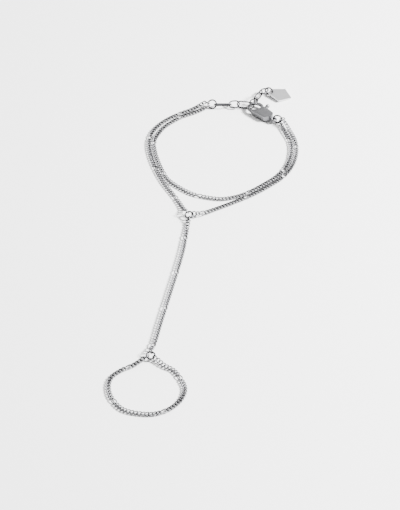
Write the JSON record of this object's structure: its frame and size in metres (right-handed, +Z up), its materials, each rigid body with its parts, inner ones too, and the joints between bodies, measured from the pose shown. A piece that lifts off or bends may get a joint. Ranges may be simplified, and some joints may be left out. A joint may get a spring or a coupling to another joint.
{
  "type": "hand chain bracelet",
  "caption": "Fine curb chain bracelet with a double wrist strand, a chain down the back of the hand to a finger loop, a lobster clasp and an extender chain with a plain tag.",
  "frame": {"origin": "on the surface that the bracelet lies on, under the middle of its bounding box", "axes": "+Z up from the surface, +Y from the finger loop towards the clasp and extender, +X to the right with the finger loop nearest the viewer"},
  "size_m": [0.0643, 0.1697, 0.0041],
  "materials": {
    "dark_plated_chain": "polished, dark rhodium tone",
    "satin_clasp": "satin cast metal, dark rhodium tone",
    "satin_tag": "satin stamped plate"
  },
  "bodies": {
    "bracelet": {"inner_strand": "dark_plated_chain", "outer_strand_left": "dark_plated_chain", "outer_strand_right": "dark_plated_chain", "hand_chain": "dark_plated_chain", "finger_chain": "dark_plated_chain", "wrist_ring_left": "dark_plated_chain", "wrist_ring_right": "dark_plated_chain", "hand_ring": "dark_plated_chain", "finger_ring": "dark_plated_chain", "extender_link_1": "dark_plated_chain", "extender_link_2": "dark_plated_chain", "extender_link_3": "dark_plated_chain", "extender_link_4": "dark_plated_chain", "extender_link_5": "dark_plated_chain", "extender_link_6": "dark_plated_chain", "tag_ring": "dark_plated_chain", "tag": "satin_tag", "clasp_body": "satin_clasp", "clasp_pin": "satin_clasp"},
    "lever": {"clasp_lever": "satin_clasp"}
  },
  "joints": [
    {"name": "lever_hinge", "type": "hinge", "parent": "bracelet", "child": "lever", "pos_m": [0.02025, 0.07127, 0.0013], "axis": [0, 0, 1], "range_deg": [0, 18], "stiffness_Nm_per_rad": 0.0005}
  ]
}
